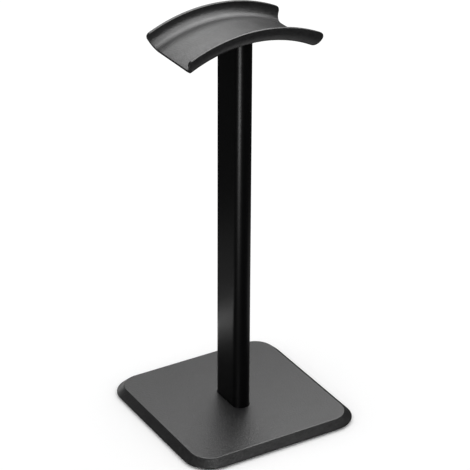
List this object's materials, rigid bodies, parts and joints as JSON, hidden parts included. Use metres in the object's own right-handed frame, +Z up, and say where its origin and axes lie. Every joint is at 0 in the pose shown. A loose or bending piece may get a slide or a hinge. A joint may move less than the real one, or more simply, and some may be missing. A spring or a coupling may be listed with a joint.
{
  "type": "headphone stand",
  "caption": "Desk stand for headphones: square chamfered weighted base, flat oval metal post and an arched trough with raised lips that carries the headband.",
  "frame": {"origin": "on the table, under the middle of the square base", "axes": "+Z up along the post, X along the arc of the headband, Y across the trough with the front at -Y"},
  "size_m": [0.12, 0.12, 0.2674],
  "materials": {
    "moulded_abs": "satin black ABS with a very fine moulded grain",
    "anodised_post": "black anodised extrusion, satin with fine lengthwise lines",
    "ballast_steel": "bare zinc-plated sheet steel",
    "nylon": "matt black glass-filled nylon",
    "foot_rubber": "matt black moulded rubber",
    "zinc_screw": "bright zinc plating",
    "black_screw": "black oxide"
  },
  "bodies": {
    "root": {"base_cover": "moulded_abs", "ballast_plate": "ballast_steel", "base_bottom_plate": "nylon", "rubber_foot_front_left": "foot_rubber", "rubber_foot_front_right": "foot_rubber", "rubber_foot_back_right": "foot_rubber", "rubber_foot_back_left": "foot_rubber", "bottom_plate_screw_right": "black_screw", "bottom_plate_screw_back": "black_screw", "bottom_plate_screw_left": "black_screw", "bottom_plate_screw_front": "black_screw", "post": "anodised_post", "post_screw_front": "zinc_screw", "post_screw_back": "zinc_screw", "bracket_screw_front": "zinc_screw", "bracket_screw_back": "zinc_screw", "saddle_bracket": "nylon", "saddle_screw_front_left": "black_screw", "saddle_screw_front_right": "black_screw", "saddle_screw_back_right": "black_screw", "saddle_screw_back_left": "black_screw", "headband_saddle": "moulded_abs"}
  },
  "joints": []
}
